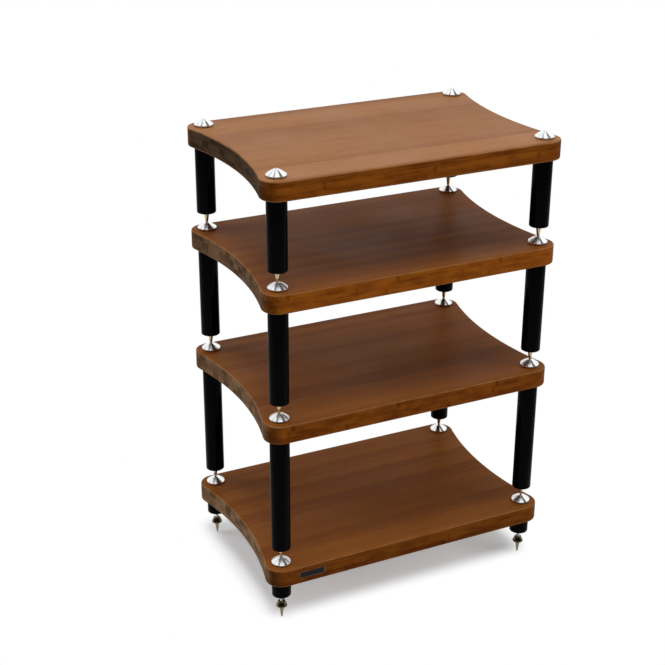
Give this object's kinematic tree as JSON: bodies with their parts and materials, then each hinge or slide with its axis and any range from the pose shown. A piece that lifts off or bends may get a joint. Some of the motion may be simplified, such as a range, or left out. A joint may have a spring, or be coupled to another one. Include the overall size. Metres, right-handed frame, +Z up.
{
  "type": "audio equipment rack",
  "caption": "Open rack of stacking tiers for audio components: thick bamboo shelves with hollowed sides on black columns, whose brass spikes stand in chrome cups.",
  "frame": {"origin": "centre of the footprint, on the floor under the spike tips", "axes": "+X to the right across the width, +Y towards the back, +Z up"},
  "size_m": [0.5838, 0.39, 0.8825],
  "materials": {
    "bamboo": "satin lacquered laminated bamboo, caramel brown",
    "black_steel": "gloss black powder coat",
    "chrome": "polished",
    "brass": "polished, slightly darkened"
  },
  "bodies": {
    "base_tier": {"base_shelf": "bamboo", "foot_column_front_left": "black_steel", "base_cup_front_left": "chrome", "foot_column_front_right": "black_steel", "base_cup_front_right": "chrome", "foot_column_back_left": "black_steel", "base_cup_back_left": "chrome", "foot_column_back_right": "black_steel", "base_cup_back_right": "chrome"},
    "foot_spike_front_left": {"foot_spike_front_left": "brass"},
    "foot_collar_front_left": {"foot_collar_front_left": "brass"},
    "foot_spike_front_right": {"foot_spike_front_right": "brass"},
    "foot_collar_front_right": {"foot_collar_front_right": "brass"},
    "foot_spike_back_left": {"foot_spike_back_left": "brass"},
    "foot_collar_back_left": {"foot_collar_back_left": "brass"},
    "foot_spike_back_right": {"foot_spike_back_right": "brass"},
    "foot_collar_back_right": {"foot_collar_back_right": "brass"},
    "lower_tier": {"lower_shelf": "bamboo", "lower_column_front_left": "black_steel", "lower_cup_front_left": "chrome", "lower_spike_front_left": "brass", "lower_column_front_right": "black_steel", "lower_cup_front_right": "chrome", "lower_spike_front_right": "brass", "lower_column_back_left": "black_steel", "lower_cup_back_left": "chrome", "lower_spike_back_left": "brass", "lower_column_back_right": "black_steel", "lower_cup_back_right": "chrome", "lower_spike_back_right": "brass"},
    "upper_tier": {"upper_shelf": "bamboo", "upper_column_front_left": "black_steel", "upper_cup_front_left": "chrome", "upper_spike_front_left": "brass", "upper_column_front_right": "black_steel", "upper_cup_front_right": "chrome", "upper_spike_front_right": "brass", "upper_column_back_left": "black_steel", "upper_cup_back_left": "chrome", "upper_spike_back_left": "brass", "upper_column_back_right": "black_steel", "upper_cup_back_right": "chrome", "upper_spike_back_right": "brass"},
    "top_tier": {"top_shelf": "bamboo", "top_column_front_left": "black_steel", "top_cup_front_left": "chrome", "top_spike_front_left": "brass", "top_column_front_right": "black_steel", "top_cup_front_right": "chrome", "top_spike_front_right": "brass", "top_column_back_left": "black_steel", "top_cup_back_left": "chrome", "top_spike_back_left": "brass", "top_column_back_right": "black_steel", "top_cup_back_right": "chrome", "top_spike_back_right": "brass"}
  },
  "joints": [
    {"name": "lower_tier_lift_off", "type": "slide", "parent": "base_tier", "child": "lower_tier", "axis": [0, 0, 1], "range_m": [0, 0.1]},
    {"name": "upper_tier_lift_off", "type": "slide", "parent": "lower_tier", "child": "upper_tier", "axis": [0, 0, 1], "range_m": [0, 0.1]},
    {"name": "top_tier_lift_off", "type": "slide", "parent": "upper_tier", "child": "top_tier", "axis": [0, 0, 1], "range_m": [0, 0.1]},
    {"name": "foot_spike_front_left_levelling", "type": "slide", "parent": "base_tier", "child": "foot_spike_front_left", "axis": [0, 0, 1], "range_m": [-0.004, 0.012]},
    {"name": "foot_spike_front_right_levelling", "type": "slide", "parent": "base_tier", "child": "foot_spike_front_right", "axis": [0, 0, 1], "range_m": [-0.004, 0.012]},
    {"name": "foot_spike_back_left_levelling", "type": "slide", "parent": "base_tier", "child": "foot_spike_back_left", "axis": [0, 0, 1], "range_m": [-0.004, 0.012]},
    {"name": "foot_spike_back_right_levelling", "type": "slide", "parent": "base_tier", "child": "foot_spike_back_right", "axis": [0, 0, 1], "range_m": [-0.004, 0.012]},
    {"name": "foot_collar_front_left_turn", "type": "hinge", "parent": "foot_spike_front_left", "child": "foot_collar_front_left", "pos_m": [-0.262, -0.165, 0.0305], "axis": [0, 0, 1], "continuous": true},
    {"name": "foot_collar_front_right_turn", "type": "hinge", "parent": "foot_spike_front_right", "child": "foot_collar_front_right", "pos_m": [0.262, -0.165, 0.0305], "axis": [0, 0, 1], "continuous": true},
    {"name": "foot_collar_back_left_turn", "type": "hinge", "parent": "foot_spike_back_left", "child": "foot_collar_back_left", "pos_m": [-0.262, 0.165, 0.0305], "axis": [0, 0, 1], "continuous": true},
    {"name": "foot_collar_back_right_turn", "type": "hinge", "parent": "foot_spike_back_right", "child": "foot_collar_back_right", "pos_m": [0.262, 0.165, 0.0305], "axis": [0, 0, 1], "continuous": true}
  ]
}
